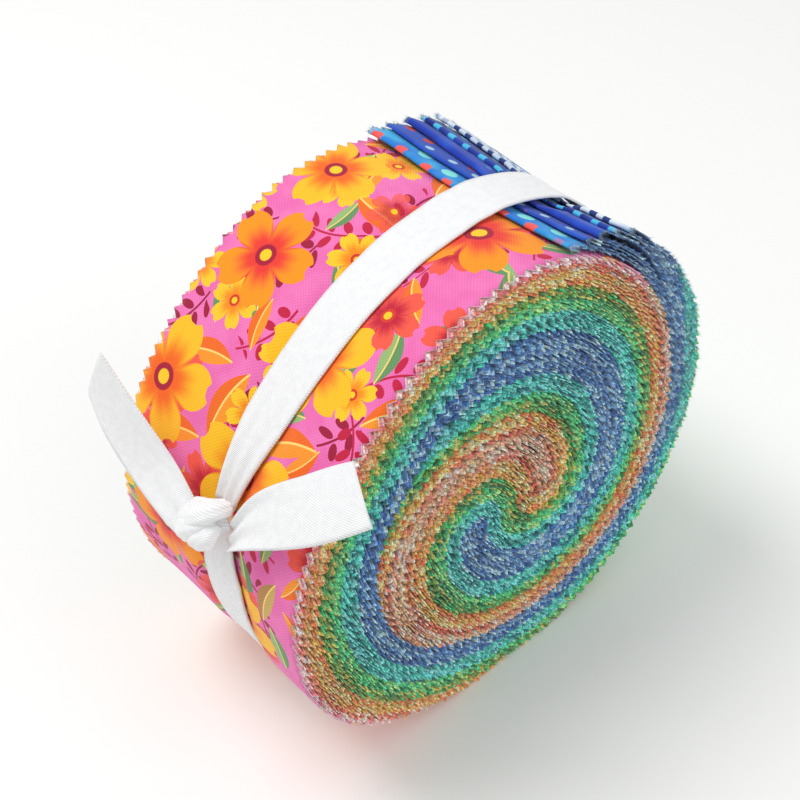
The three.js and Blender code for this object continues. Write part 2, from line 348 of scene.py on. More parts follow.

# The outermost strips, whose teeth on the rim are white, pink and mauve, by their tone, and the painted light
# on those teeth raised and its range narrowed.
RIM_STRIPS = 3
RIM_CHALK, RIM_PETAL = 0.42, 0.72
RIM_LIGHT, RIM_SHADE = 0.45, 0.75


def strip_colours(place):
    """One strip's four colours: of its ground, of its figures and two for single teeth."""
    share = (place + 0.5) / STRIPS
    mix = next(colours for limit, colours in MIXES if share < limit)
    order = np.random.default_rng(MIX_SEED + place).permutation(4)
    return [mix[i] for i in order]


COURSE_TURNS = np.arange(-416.0, 792.0, 0.4)


def strip_course(place):
    """The turns along a strip's middle and the arc length at each, from the S outwards."""
    x, z = winding(COURSE_TURNS, np.full_like(COURSE_TURNS, (place + 0.5) * STRIP_PITCH))
    arc = np.concatenate([[0], np.cumsum(np.hypot(np.diff(x), np.diff(z)))])
    return COURSE_TURNS, arc - np.interp(0, COURSE_TURNS, arc)


def layer_teeth(place, side):
    """The turns of the tips and hollows of one layer's pinked edges, their arc lengths, tips and tones."""
    rng = np.random.default_rng(TOOTH_SEED + 2 * place + side)
    turns, arc = COURSES[place]
    half = TOOTH_PITCH / 2
    phase = (place % 2) + rng.uniform(-TOOTH_DRIFT, TOOTH_DRIFT)
    steps = np.arange(math.ceil(arc[0] / half - phase) + 1, math.floor(arc[-1] / half - phase))
    arcs = (steps + phase) * half
    return np.interp(arcs, arc, turns), arcs, (steps % 2 == 0).astype(float), rng.uniform(0, 1, len(steps))


COURSES = [strip_course(place) for place in range(STRIPS)]


def layer_rows(place, side, stop):
    """One layer of a strip, from its cut end to its fold: turns, arc lengths, tooth tips and tones."""
    start = short_stop((place + 0.25 + 0.5 * side) * STRIP_PITCH)
    turns, arcs, tips, tones = layer_teeth(place, side)
    inside = (turns > start + TOOTH_CLEAR) & (turns < stop - TOOTH_CLEAR)
    ends = np.interp([start, stop], *COURSES[place])
    turns = np.concatenate([[start], turns[inside], [stop]])
    arcs = np.concatenate([ends[:1], arcs[inside], ends[1:]])
    tips, tones = (np.concatenate([[0.5], part[inside], [0.5]]) for part in (tips, tones))
    return turns, arcs, tips, tones


# Columns of points across a strip: near its front edge, near its back one, and out from each edge of the
# ribbon. Beside the cut edges are inset ones, and rings that don't show keep only those four.
FRONT_COLUMN, BACK_COLUMNS = -25.5, (18.5, 24)
RIBBON_COLUMNS = [-12, -5.5, -3, -1.4, 0]
INSET = 2.4
FEW_COLUMNS = [0, 1, -2, -1]

# Rows round a strip's fold, and the radius at which its bulge is turned into degrees.
FOLD_ROWS = 5
FOLD_RADIUS = 60

# How far strips slip along the roll: as a whole, along their length, and how much of it is left at the rim.
SLIP_WHOLE, SLIP_ALONG, SLIP_LEFT = 0.3, 0.25, 0.25
SLIP_EASE = (404, 440)


def column_places(turn):
    """All the columns across a strip at each turn: its edges, and closer ones beside the ribbon."""
    edge = STRIP_WIDTH / 2
    ribbon, half = tape_y(turn), tape_half(turn)
    front = [ribbon - half + n for n in RIBBON_COLUMNS]
    back = [ribbon + half - n for n in RIBBON_COLUMNS[::-1]]
    before = [-edge, -edge + INSET, FRONT_COLUMN]
    after = [*BACK_COLUMNS, edge - INSET, edge]
    ones = np.ones_like(turn)
    return np.stack([*(n * ones for n in before), *front, ribbon, *back, *(n * ones for n in after)], 1)


def strip_rings(place):
    """A folded strip's rings: turn, arc, tooth tip, tone, angle round the fold, and whether it shows."""
    stop = strip_stop(place)
    rings = []
    for side in (0, 1):
        rows = [part[:: 1 - 2 * side] for part in layer_rows(place, side, stop)]
        rings.append([*rows, np.full(len(rows[0]), side * math.pi)])
        if side == 0:
            bend = np.linspace(0, math.pi, FOLD_ROWS + 2)[1:-1]
            rings.append([np.full(FOLD_ROWS, part[-1]) for part in rows] + [bend])
    turn, arc, tip, tone, swing = (np.concatenate(part) for part in zip(*rings))
    shown = (turn > RIM_FROM) & (stack_top(turn) - (place + 0.5) * STRIP_PITCH < SHOWN_DEPTH)
    return turn, arc, tip, tone, swing, shown | (turn > LOOSE_FROM)


def strip_points(place, turn, swing, y, face):
    """Points of one face of a strip's rings, at y across it."""
    turn, swing = turn[:, None], swing[:, None]
    skew = 0.0
    if is_loose(place):
        skew = LOOSE_ENDS[place][1] * y / (STRIP_WIDTH / 2) + SKEW_WANDER * wander(FOLD_SEED + place, y, 23)
    middle, half = middle_height(place, turn, y)
    reach = half + face * CLOTH / 2
    height = pressed(turn, y, middle - reach * np.cos(swing)) + ripple(turn, y)
    past = np.degrees(reach * np.sin(swing) / FOLD_RADIUS)
    turned = turn + past + skew * smooth(SKEW_FROM, LOOSEN_TO, turn)
    height = STACK_MARGIN + height * (STACK - 2 * STACK_MARGIN) / STACK
    x, z = winding(turned, height)
    return in_frame(x, y, z)


def closed_rings(under, over, arc, y):
    """Both faces of a sheet as rings of points, and each point's place on the flat cloth."""
    flat = np.stack([np.repeat(arc[:, None], y.shape[1], 1), y, np.zeros_like(y)], -1)
    return np.concatenate([under, over[:, ::-1]], 1), np.concatenate([flat, flat[:, ::-1]], 1)


def strip_object(place, material):
    """A strip as one closed sheet, and its two cut edges, on which the frayed threads stand."""
    rng = np.random.default_rng(STRIP_SEED + place)
    turn, arc, tip, tone, swing, shown = strip_rings(place)
    rows = len(turn)
    y = column_places(turn)
    count = y.shape[1]
    slip = rng.normal(0, SLIP_WHOLE) + SLIP_ALONG * wander(SLIP_SEED + place, arc, 40)
    y = y + (slip * np.clip(1 - smooth(*SLIP_EASE, turn), SLIP_LEFT, 1))[:, None]
    for column, way in ((0, 1), (-1, -1)):
        y[:, column] += way * (TOOTH_DEPTH * (1 - tip) + rng.uniform(-TOOTH_UNEVEN, TOOTH_UNEVEN, rows))
    inner = strip_points(place, turn, swing, y, -1)
    outer = strip_points(place, turn, swing, y, 1)
    flick = rng.normal(0, TOOTH_FLICK, (rows, 2)) * tip[:, None]
    across = (outer - inner) / CLOTH
    for points in (inner, outer):
        points[:, 0] += across[:, 0] * flick[:, :1]
        points[:, -1] += across[:, -1] * flick[:, 1:]
        points[..., 2] = np.maximum(points[..., 2], FLOOR_CLEAR)
    ring, cloth = closed_rings(inner, outer, arc, y)
    cloth[:, :, 2] = cloth_sides(count)
    tints = strip_tints(place, rng, arc, tip, tone, count, shown)
    edges = [((inner[:, c] + outer[:, c]) / 2, across[:, c], tints["tint"][:, c], turn) for c in (0, -1)]
    taken, faces = strip_faces(shown, count)
    kept = {name: values[taken] for name, values in tints.items()}
    return mesh_object(f"strip_{place + 1:02d}", ring[taken], faces, material, cloth[taken], kept), edges


def strip_faces(shown, count):
    """Which points of a strip's rings are kept, fewer where it doesn't show, and the faces that join them."""
    few = [c % count for c in FEW_COLUMNS]
    few_ring = few + [2 * count - 1 - c for c in few[::-1]]
    used = [list(range(2 * count)) if s else few_ring for s in shown]
    numbers = np.full((len(shown), 2 * count), -1)
    total = 0
    for row, columns in zip(numbers, used):
        row[columns] = np.arange(total, total + len(columns))
        total += len(columns)
    faces = []
    for here, there, low, high in zip(numbers, numbers[1:], used, used[1:]):
        if len(low) != len(high):
            faces += joining_faces(here, there, few_ring)
            continue
        first, second = here[low], there[high]
        faces += np.stack([first, np.roll(first, -1), np.roll(second, -1), second], 1).tolist()
    faces += [numbers[0, used[0]][::-1].tolist(), numbers[-1, used[-1]].tolist()]
    return numbers >= 0, faces


def joining_faces(here, there, few_ring):
    """Faces between a ring of few points and a ring of many."""
    faces = []
    size = len(here)
    for first, second in zip(few_ring, few_ring[1:] + few_ring[:1]):
        span = (second - first) % size
        steps = [(first + n) % size for n in range(span + 1)]
        low = [here[s] for s in steps if here[s] >= 0]
        high = [there[s] for s in steps if there[s] >= 0]
        faces.append([int(n) for n in low + high[::-1]])
    return faces


def strip_tints(place, rng, arc, tip, tone, count, shown):
    """The ground's and the figures' colour at each point. At the cut edges both are the tooth's, with painted
    light and shade on it, and just inside them, where the strip is hidden in the stack, both are a painted
    shade.
    """
    ground, figure, third, fourth = strip_colours(place)
    tip, tone, shown = tip[:, None], tone[:, None], shown[:, None]
    drift = 0.5 + 0.5 * wander(DRIFT_SEED + place, arc, 9)[:, None]
    mixed = ground * (1 - drift) + figure * drift
    mixed = np.where(tone < THIRD_BELOW, third, mixed)
    mixed = np.where(tone > FOURTH_ABOVE, fourth, mixed)
    # Painted light and shade: each tooth lighter at its tip and darker in its hollow.
    light = LIGHT_HOLLOW + LIGHT_TIP * tip + rng.uniform(-LIGHT_VARIES, LIGHT_VARIES, len(arc))[:, None]
    if place >= STRIPS - RIM_STRIPS:
        rim = np.where(tone < RIM_CHALK, CHALK, np.where(tone < RIM_PETAL, PETAL, MAUVE))
        mixed = np.where(shown, rim, mixed)
        light = np.where(shown, RIM_LIGHT + RIM_SHADE * light, light)
    # A painted highlight added at the tooth tips, more on the loose ends.
    tip_highlight = TIP_HIGHLIGHT + TIP_HIGHLIGHT_LOOSE * is_loose(place)
    edge = np.clip(mixed * np.maximum(light, LIGHT_LEAST) + tip_highlight * tip, 0, 1)
    # Painted shade just inside the cut edges, where the strip lies hidden in the stack.
    dark = edge * (INSET_SHADE_LOOSE if is_loose(place) else INSET_SHADE_WOUND)
    tints = {}
    for name, colour in (("tint", ground), ("figure", figure)):
        values = np.zeros((len(arc), 2 * count, 3))
        values[:] = colour
        values[:, [1, count - 2, count + 1, 2 * count - 2]] = np.where(shown, colour, dark)[:, None]
        values[:, [0, count - 1, count, 2 * count - 1]] = edge[:, None]
        tints[name] = values
    return tints


def cloth_sides(count):
    """2 on the cloth's reverse, inside its fold, 1 at the right side's cut edges and 0 elsewhere on it."""
    sides = np.zeros(2 * count)
    sides[[count, 2 * count - 1]] = 1
    sides[:count] = 2
    return sides


def unit(vectors):
    return vectors / np.maximum(np.linalg.norm(vectors, axis=-1, keepdims=True), 1e-12)


def frayed_threads(name, edges, way, seed, material):
    """The threads that stand out of the cut edges on one side of the roll: a slim spike for each."""
    rng = np.random.default_rng(seed)
    gathered = []
    for points, across, colours, turn in edges:
        pick = rng.integers(0, len(points) - 1, int(len(points) * FRAY_SHARE))
        free = np.flatnonzero(turn[:-1] > FRAY_FREE)
        if len(free):
            pick = np.concatenate([pick, rng.choice(free, int(len(free) * FREE_MORE))])
        part = rng.uniform(0, 1, len(pick))[:, None]
        gathered.append((
            points[pick] * (1 - part) + points[pick + 1] * part,
            unit(across[pick]),
            unit(points[pick + 1] - points[pick]),
            # Each thread takes the colour of its tooth, painted light and shade included.
            colours[pick] * (1 - part) + colours[pick + 1] * part,
            (turn[pick] > FRAY_FREE)[:, None],
        ))
    root, normal, step, tint, free = (np.concatenate(part) for part in zip(*gathered))
    count = len(root)
    lean = rng.normal(0, FRAY_LEAN, (count, 2)) * np.where(free, FREE_WILDER, 1.0)
    out = np.array([0.0, way, 0.0])
    course = unit(out + step * lean[:, :1] + normal * lean[:, 1:])
    length = rng.uniform(FRAY_SHORT, FRAY_LONG, count)[:, None] * np.where(free, FREE_LONGER, 1.0) / 1000
    aside = unit(np.cross(course, normal))
    thick = FRAY_THICK / 2000
    foot = root - out * FRAY_ROOT / 1000
    angles = np.arange(3) * 2 * math.pi / 3
    corners = [foot + thick * (normal * math.cos(a) + aside * math.sin(a)) for a in angles]
    points = np.stack([*corners, root + course * length], 1).reshape(-1, 3)
    points[:, 2] = np.maximum(points[:, 2], FLOOR_CLEAR)
    first = 4 * np.arange(count)[:, None]
    faces = np.concatenate([first + face for face in ([0, 1, 3], [1, 2, 3], [2, 0, 3], [0, 2, 1])])
    pale = rng.uniform(0.0, 1.0, count)[:, None] ** 3 * FRAY_CHALK
    shade = tint * (1 - pale) + CHALK * pale
    soft = np.where(free, rng.uniform(0, 1, (count, 1)) * FREE_PALER, 0.0)
    shade = np.repeat(shade * (1 - soft) + MIST * soft, 4, 0)
    return mesh_object(name, points, faces.tolist(), material, points * 1000, {"tint": shade})


def add_object(name, data):
    made = bpy.data.objects.new(name, data)
    bpy.context.scene.collection.objects.link(made)
    return made


def mesh_object(name, points, faces, material, cloth, tints=None):
    """A smooth mesh on the part's one body, with each point's place on the flat cloth and its tints."""
    mesh = bpy.data.meshes.new(name)
    mesh.from_pydata(points.reshape(-1, 3).tolist(), [], faces)
    mesh.polygons.foreach_set("use_smooth", [True] * len(mesh.polygons))
    attribute = mesh.attributes.new("cloth", "FLOAT_VECTOR", "POINT")
    attribute.data.foreach_set("vector", cloth.astype(np.float32).ravel())
    for key, values in (tints or {}).items():
        attribute = mesh.attributes.new(key, "FLOAT_COLOR", "POINT")
        full = np.concatenate([values, np.ones((len(values), 1))], 1)
        attribute.data.foreach_set("color", full.astype(np.float32).ravel())
    mesh.materials.append(material)
    mesh.update()
    made = add_object(name, mesh)
    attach(made, "root")
    return made


class Nodes:
    """Short calls that add shader nodes to one material."""

    def __init__(self, name, roughness, sheen=0.0):
        self.material = bpy.data.materials.new(name)
        self.material.use_nodes = True
        self.tree = self.material.node_tree
        self.shader = self.tree.nodes["Principled BSDF"]
        self.shader.inputs["Roughness"].default_value = roughness
        self.shader.inputs["Specular IOR Level"].default_value = 0.25
        self.shader.inputs["Sheen Weight"].default_value = sheen
        self.shader.inputs["Sheen Roughness"].default_value = 0.5

    def add(self, kind, **settings):
        node = self.tree.nodes.new(kind)
        for key, value in settings.items():
            setattr(node, key, value)
        return node

    def put(self, value, socket):
        if isinstance(value, bpy.types.NodeSocket):
            self.tree.links.new(value, socket)
        elif isinstance(value, (int, float)):
            socket.default_value = float(value)
        else:
            size = len(socket.default_value)
            socket.default_value = [*value, 1.0][:size]

    def attribute(self, name, output="Vector"):
        return self.add("ShaderNodeAttribute", attribute_name=name).outputs[output]

    def filled(self, kind, values, **settings):
        """The outputs of a new node whose first inputs take the values."""
        node = self.add(kind, **settings)
        for value, socket in zip(values, node.inputs):
            self.put(value, socket)
        return node.outputs

    def math(self, operation, *values):
        return self.filled("ShaderNodeMath", values, operation=operation)[0]

    def vector(self, operation, *values):
        made = self.filled("ShaderNodeVectorMath", values, operation=operation)
        return made["Value" if operation == "LENGTH" else "Vector"]

    def scaled(self, vector, share):
        node = self.add("ShaderNodeVectorMath", operation="SCALE")
        self.put(vector, node.inputs[0])
        self.put(share, node.inputs["Scale"])
        return node.outputs["Vector"]

    def split(self, vector):
        return self.filled("ShaderNodeSeparateXYZ", [vector])

    def join(self, x, y):
        return self.filled("ShaderNodeCombineXYZ", [x, y])[0]

    def noise(self, vector, scale, detail):
        node = self.add("ShaderNodeTexNoise")
        self.put(vector, node.inputs["Vector"])
        node.inputs["Scale"].default_value = scale
        node.inputs["Detail"].default_value = detail
        return node.outputs["Fac"]

    def cells(self, vector, scale, randomness, feature="F1"):
        node = self.add("ShaderNodeTexVoronoi", feature=feature, voronoi_dimensions="2D")
        self.put(vector, node.inputs["Vector"])
        node.inputs["Scale"].default_value = scale
        node.inputs["Randomness"].default_value = randomness
        return node.outputs

    def mix(self, share, first, second):
        node = self.add("ShaderNodeMix", data_type="RGBA")
        self.put(share, node.inputs[0])
        self.put(first, node.inputs[6])
        self.put(second, node.inputs[7])
        return node.outputs[2]

    def step(self, value, low, high, start=0.0, end=1.0):
        """A smooth step of a value from start at low to end at high."""
        values = (value, low, high, start, end)
        return self.filled("ShaderNodeMapRange", values, interpolation_type="SMOOTHSTEP")[0]

    def times(self, first, second):
        return self.math("MULTIPLY", first, second)

    def minus(self, first, second):
        return self.math("SUBTRACT", first, second)

    def bump(self, height, distance, strength):
        node = self.add("ShaderNodeBump")
        node.inputs["Strength"].default_value = strength
        node.inputs["Distance"].default_value = distance
        self.put(height, node.inputs["Height"])
        return node.outputs[0]

    def finish(self, colour, normal=None):
        self.put(colour, self.shader.inputs["Base Color"])
        if normal is not None:
            self.put(normal, self.shader.inputs["Normal"])
        return self.material


def weave_height(nodes, x, y, threads=2.6):
    """Plain weave: threads that pass over and under each other, at so many a millimetre."""
    along = nodes.math("SINE", nodes.times(x, threads * math.pi))
    across = nodes.math("SINE", nodes.times(y, threads * math.pi))
    return nodes.times(along, across)


def stack_colour(nodes, x, y, side):
    """The print of a wound strip in its own tints, with threads that vary and pale fray at its edges."""
    plane = nodes.join(x, y)
    cell = nodes.cells(plane, 0.16, 0.8)
    spots = nodes.step(cell["Distance"], 0.34, 0.42, 1.0, 0.0)
    colour = nodes.mix(spots, nodes.attribute("tint", "Color"), nodes.attribute("figure", "Color"))
    shaded = nodes.scaled(colour, nodes.step(nodes.noise(plane, 1.7, 3), 0.3, 0.7, 0.5, 1.5))
    frayed = nodes.times(nodes.step(side, 0.3, 1.0), nodes.step(nodes.noise(plane, 2.8, 4), 0.5, 0.64))
    return nodes.mix(nodes.times(frayed, 0.3), shaded, nodes.mix(0.4, colour, CHALK))


def stack_cloth():
    """The cotton of the wound strips, each printed in two colours of its own."""
    nodes = Nodes("wound_cotton", 0.9, 0.15)
    x, y, side = nodes.split(nodes.attribute("cloth"))
    colour = stack_colour(nodes, x, y, side)
    return nodes.finish(colour, nodes.bump(weave_height(nodes, x, y), 0.00004, 0.6))


def fray_cotton():
    """The loose threads, each in its strip's colour with the painted light and shade of its tooth, and
    lighter or darker along its length.
    """
    nodes = Nodes("frayed_cotton", 0.95, 0.2)
    streaks = nodes.noise(nodes.attribute("cloth"), 1.5, 2)
    colour = nodes.scaled(nodes.attribute("tint", "Color"), nodes.step(streaks, 0.3, 0.7, 0.8, 1.15))
    return nodes.finish(colour, nodes.bump(streaks, 0.00002, 0.4))


def motif_cells(nodes, plane, size, randomness, shift):
    """Scattered places for motifs: the position in shares of each one's room, its room and its chances."""
    moved = nodes.vector("ADD", plane, (shift[0], shift[1], 0))
    scaled = nodes.vector("MULTIPLY", moved, (1 / size, 1 / size, 0))
    cell = nodes.cells(scaled, 1.0, randomness)
    room = nodes.cells(scaled, 1.0, randomness, "N_SPHERE_RADIUS")["Radius"]
    local = nodes.vector("SUBTRACT", scaled, cell["Position"])
    chance = nodes.split(cell["Color"])
    turned = nodes.add("ShaderNodeVectorRotate", rotation_type="Z_AXIS")
    nodes.put(local, turned.inputs["Vector"])
    nodes.put(nodes.times(chance[0], 6.283), turned.inputs["Angle"])
    limited = nodes.math("MINIMUM", nodes.times(room, 0.97), 0.5)
    local = nodes.scaled(turned.outputs[0], nodes.math("DIVIDE", 1.0, limited))
    return local, nodes.times(limited, size), chance


def polar(nodes, local):
    x, y, _ = nodes.split(local)
    return nodes.vector("LENGTH", local), nodes.math("ARCTAN2", y, x)


def wave(nodes, angle, count):
    return nodes.math("COSINE", nodes.times(angle, float(count)))


def blossom(nodes, ground, local, petals, tips, roots, eye):
    """A flower of rounded, notched petals that are darker at their roots, with a two-coloured eye."""
    radius, angle = polar(nodes, local)
    lobe = nodes.math("ABSOLUTE", wave(nodes, angle, petals / 2))
    reach = nodes.times(nodes.math("POWER", lobe, 0.55), 0.6)
    rim = nodes.minus(nodes.math("ADD", reach, 0.38), nodes.step(lobe, 0.93, 1.0, 0.0, 0.09))
    share = nodes.math("DIVIDE", radius, rim)
    colour = nodes.mix(nodes.step(share, 0.3, 0.78), roots, tips)
    colour = nodes.mix(nodes.step(lobe, 0.08, 0.34, 0.75, 0.0), colour, roots)
    colour = nodes.mix(nodes.step(radius, 0.19, 0.21, 1, 0), colour, eye)
    colour = nodes.mix(nodes.step(radius, 0.1, 0.12, 1, 0), colour, rgb(253, 205, 40))
    return nodes.mix(nodes.math("LESS_THAN", share, 1.0), ground, colour)


def leaf(nodes, ground, local, chance):
    """A curved leaf in two flat tones, one on each side of its midrib."""
    u, v, _ = nodes.split(local)
    bent = nodes.minus(v, nodes.times(nodes.times(u, u), 0.16))
    off = nodes.math("ABSOLUTE", bent)
    width = nodes.times(nodes.minus(1.0, nodes.times(u, u)), 0.36)
    kind = nodes.step(chance, 0.55, 0.56)
    light = nodes.mix(kind, rgb(150, 184, 116), rgb(250, 150, 44))
    deep = nodes.mix(kind, rgb(104, 148, 96), rgb(240, 108, 34))
    colour = nodes.mix(nodes.step(bent, -0.01, 0.01), deep, light)
    colour = nodes.mix(nodes.step(off, 0.02, 0.035, 1, 0), colour, rgb(253, 214, 120))
    return nodes.mix(nodes.math("LESS_THAN", off, width), ground, colour)


# A sprig's leaflets: how far apart, how far from the stem, and half their width and length.
LEAFLET_PITCH, LEAFLET_OFF, LEAFLET_HALF = 4.2, 2.3, (1.1, 1.75)


def sprig(nodes, ground, local, room, dark):
    """A slender curved stem with pairs of plain oval leaflets."""
    u, v, _ = nodes.split(nodes.scaled(local, room))
    bent = nodes.minus(v, nodes.times(nodes.times(u, u), 0.03))
    off = nodes.math("ABSOLUTE", bent)
    reach = nodes.minus(nodes.times(room, 0.95), nodes.math("ABSOLUTE", u))
    stem = nodes.times(nodes.step(off, 0.22, 0.34, 1, 0), nodes.math("GREATER_THAN", reach, 0.0))
    slanted = nodes.minus(u, nodes.times(off, 0.45))
    along = nodes.times(slanted, 1 / LEAFLET_PITCH)
    near = nodes.times(nodes.minus(nodes.math("FRACT", along), 0.5), LEAFLET_PITCH)
    oval = nodes.vector("LENGTH", nodes.join(
        nodes.math("DIVIDE", near, LEAFLET_HALF[0]),
        nodes.math("DIVIDE", nodes.minus(off, LEAFLET_OFF), LEAFLET_HALF[1]),
    ))
    leaflet = nodes.times(nodes.math("LESS_THAN", oval, 1.0), nodes.math("GREATER_THAN", reach, 1.5))
    red = nodes.mix(dark, rgb(206, 34, 70), rgb(150, 24, 58))
    return nodes.mix(nodes.math("MAXIMUM", stem, leaflet), ground, red)


def printed_cotton():
    """The outer strip's print: blossoms in two sizes, leaves and crimson sprigs on a pink ground."""
    nodes = Nodes("printed_cotton", 0.88, 0.15)
    x, y, side = nodes.split(nodes.attribute("cloth"))
    plane = nodes.join(x, y)
    cloudy = nodes.step(nodes.noise(plane, 0.12, 2), 0.35, 0.65)
    colour = nodes.mix(cloudy, rgb(240, 122, 186), rgb(234, 108, 176))
    for size, shift, dark in ((22, (3, 4), 0.85), (25, (60, 31), 0.2)):
        local, room, _ = motif_cells(nodes, plane, size, 0.7, shift)
        colour = sprig(nodes, colour, local, room, dark)
    for shift in ((17, 9), (88, 40)):
        local, _, chance = motif_cells(nodes, plane, 19, 0.6, shift)
        colour = leaf(nodes, colour, local, chance[1])
    local, _, chance = motif_cells(nodes, plane, 18, 0.5, (47, 58))
    kind = nodes.step(chance[1], 0.5, 0.51)
    tips = nodes.mix(kind, rgb(253, 200, 44), rgb(246, 92, 74))
    roots = nodes.mix(kind, rgb(248, 140, 30), rgb(196, 30, 58))
    shown = nodes.step(chance[2], 0.3, 0.31)
    colour = nodes.mix(shown, colour, blossom(nodes, colour, local, 6, tips, roots, rgb(214, 60, 40)))
    local, _, chance = motif_cells(nodes, plane, 35, 0.45, (12, 21))
    kind = nodes.step(chance[1], 0.5, 0.51)
    tips = nodes.mix(kind, rgb(252, 150, 26), rgb(253, 192, 36))
    roots = nodes.mix(kind, rgb(234, 60, 50), rgb(244, 104, 28))
    colour = blossom(nodes, colour, local, 5, tips, roots, rgb(168, 24, 56))
    weave = weave_height(nodes, x, y, 2.2)
    colour = nodes.mix(nodes.step(side, 1.1, 1.5, 0.0, 0.6), colour, CHALK)
    colour = own_print(nodes, STRIPS - 1, OUTER_SHOWN, x, y, side, colour)
    # Painted shade and highlight of the weave: darker where its threads dip under, lighter where they rise
    # over.
    weave_shaded = nodes.scaled(colour, nodes.step(weave, -1, 1, 0.9, 1.06))
    return nodes.finish(weave_shaded, nodes.bump(weave, 0.00005, 0.5))


def own_print(nodes, place, turn, x, y, side, colour):
    """A strip's own print from a turn outwards, and before it a print like its neighbours'."""
    arc = float(np.interp(turn, *COURSES[place]))
    return nodes.mix(nodes.step(x, arc - 2, arc + 2), stack_colour(nodes, x, y, side), colour)


def dotted_cotton(place, name, ground, spots, size, bands):
    """A loose end's cotton, with round dots in one or two colours. Its wound part is like its neighbours."""
    nodes = Nodes(name, 0.88, 0.15)
    x, y, side = nodes.split(nodes.attribute("cloth"))
    plane = nodes.join(x, y)
    colour = nodes.mix(nodes.step(nodes.noise(plane, 0.09, 2), 0.4, 0.6), ground, bands)
    for number, (colour_of, share) in enumerate(spots):
        local, _, chance = motif_cells(nodes, plane, size, 0.15, (size * number / 2, size * number / 2))
        radius, _ = polar(nodes, local)
        inside = nodes.times(nodes.step(radius, share, share + 0.08, 1, 0), nodes.step(chance[2], 0.12, 0.14))
        colour = nodes.mix(inside, colour, colour_of)
    colour = nodes.mix(nodes.step(side, 0.15, 0.75), colour, stack_colour(nodes, x, y, side))
    colour = own_print(nodes, place, LOOSE_SHOWN, x, y, side, colour)
    weave = weave_height(nodes, x, y, 2.2)
    return nodes.finish(colour, nodes.bump(weave, 0.00005, 0.5))


def white_tape():
    """Cotton twill tape: fine ridges that run slantwise across it, with painted shade between them and
    painted highlight on their crests.
    """
    nodes = Nodes("white_tape", 0.75, 0.25)
    cloth = nodes.attribute("cloth")
    x, y, _ = nodes.split(cloth)
    slant = nodes.math("ADD", nodes.times(x, 0.72), nodes.times(y, 0.95))
    ridge = nodes.math("SINE", nodes.times(slant, 2 * math.pi / 0.55))
    thread = nodes.math("SINE", nodes.times(y, 2 * math.pi / 0.28))
    height = nodes.math("ADD", ridge, nodes.times(thread, 0.25))
    soft = nodes.noise(cloth, 0.5, 3)
    # Painted shade and highlight on the twill: darker in the hollows between its ridges, lighter on their
    # crests.
    low, high = rgb(237, 238, 240), rgb(253, 253, 253)
    colour = nodes.mix(nodes.step(ridge, -1, 1), low, high)
    colour = nodes.mix(nodes.step(soft, 0.3, 0.75, 0.0, 0.25), colour, rgb(216, 219, 223))
    return nodes.finish(colour, nodes.bump(height, 0.00007, 0.55))


def ring_faces(rows, size):
    """The faces of a tube of rings, with both its ends closed."""
    numbers = np.arange(rows * size).reshape(rows, size)
    around = np.roll(numbers, -1, 1)
    quads = np.stack([numbers[:-1], around[:-1], around[1:], numbers[1:]], -1).reshape(-1, 4)
    return quads.tolist() + [numbers[0][::-1].tolist(), numbers[-1].tolist()]


def arc_lengths(line):
    """How far along a line each of its points is."""
    return np.concatenate([[0], np.cumsum(np.linalg.norm(np.diff(line, axis=0), axis=1))])


def tape_mesh(name, faces, arc, across, material):
    """A length of the ribbon between its two faces, and that length in metres."""
    ring, cloth = closed_rings(*faces, arc, TAPE_WIDTH / 2 * across + 0 * arc[:, None])
    return mesh_object(name, ring, ring_faces(*ring.shape[:2]), material, cloth), arc[-1] / 1000


# Where the ribbon gathers into pleats above the knot and below it, how far its edges curl up and its middle
# sinks, and its height over what it lies on.
GATHER_KNOT, GATHER_UNDER = (842, 872), (520, 538)
BAND_CURL, BAND_SUNK, BAND_CLEAR = 0.12, 0.05, 0.12


def tape_band(material):
    """The ribbon round the roll, from the knot over the top and the bottom and back to the knot."""
    turn = np.linspace(TAPE_KNOT_END, TAPE_START, BAND_ROWS)[:, None]
    across = np.linspace(-1, 1, BAND_COLUMNS)
    y = tape_y(turn) + tape_half(turn) * across
    gather = smooth(*GATHER_KNOT, turn) + 1 - smooth(*GATHER_UNDER, turn)
    pleat = gather * 0.5 * (1 + np.cos(across * math.pi * 2.6 + 0.4))
    curl = BAND_CURL * across**2 - BAND_SUNK
    uneven = 0.08 * wander(TAPE_SEED, turn, 13) + 0.05 * wander(TAPE_SEED + 1, turn + 8 * across, 7)
    faces = []
    for face in (0, 1):
        height = tape_height(turn) + pleat + curl + uneven + BAND_CLEAR + face * TAPE_THICK
        x, z = winding(np.repeat(turn, BAND_COLUMNS, 1), height)
        faces.append(in_frame(x, y, z))
    line = (faces[0] + faces[1])[:, BAND_COLUMNS // 2] * 500
    return tape_mesh("tape_band", faces, arc_lengths(line), across, material)


def spline(points, count):
    """An even curve through a few points, each a row of numbers."""
    points = np.array(points, float)
    ends = np.concatenate([[2 * points[0] - points[1]], points, [2 * points[-1] - points[-2]]])
    place = np.linspace(0, len(points) - 1 - 1e-9, count)
    low = place.astype(int)
    t = (place - low)[:, None]
    a, b, c, d = ends[low], ends[low + 1], ends[low + 2], ends[low + 3]
    return 0.5 * (2 * b + (c - a) * t + (2 * a - 5 * b + 4 * c - d) * t**2 + (3 * b - a - 3 * c + d) * t**3)


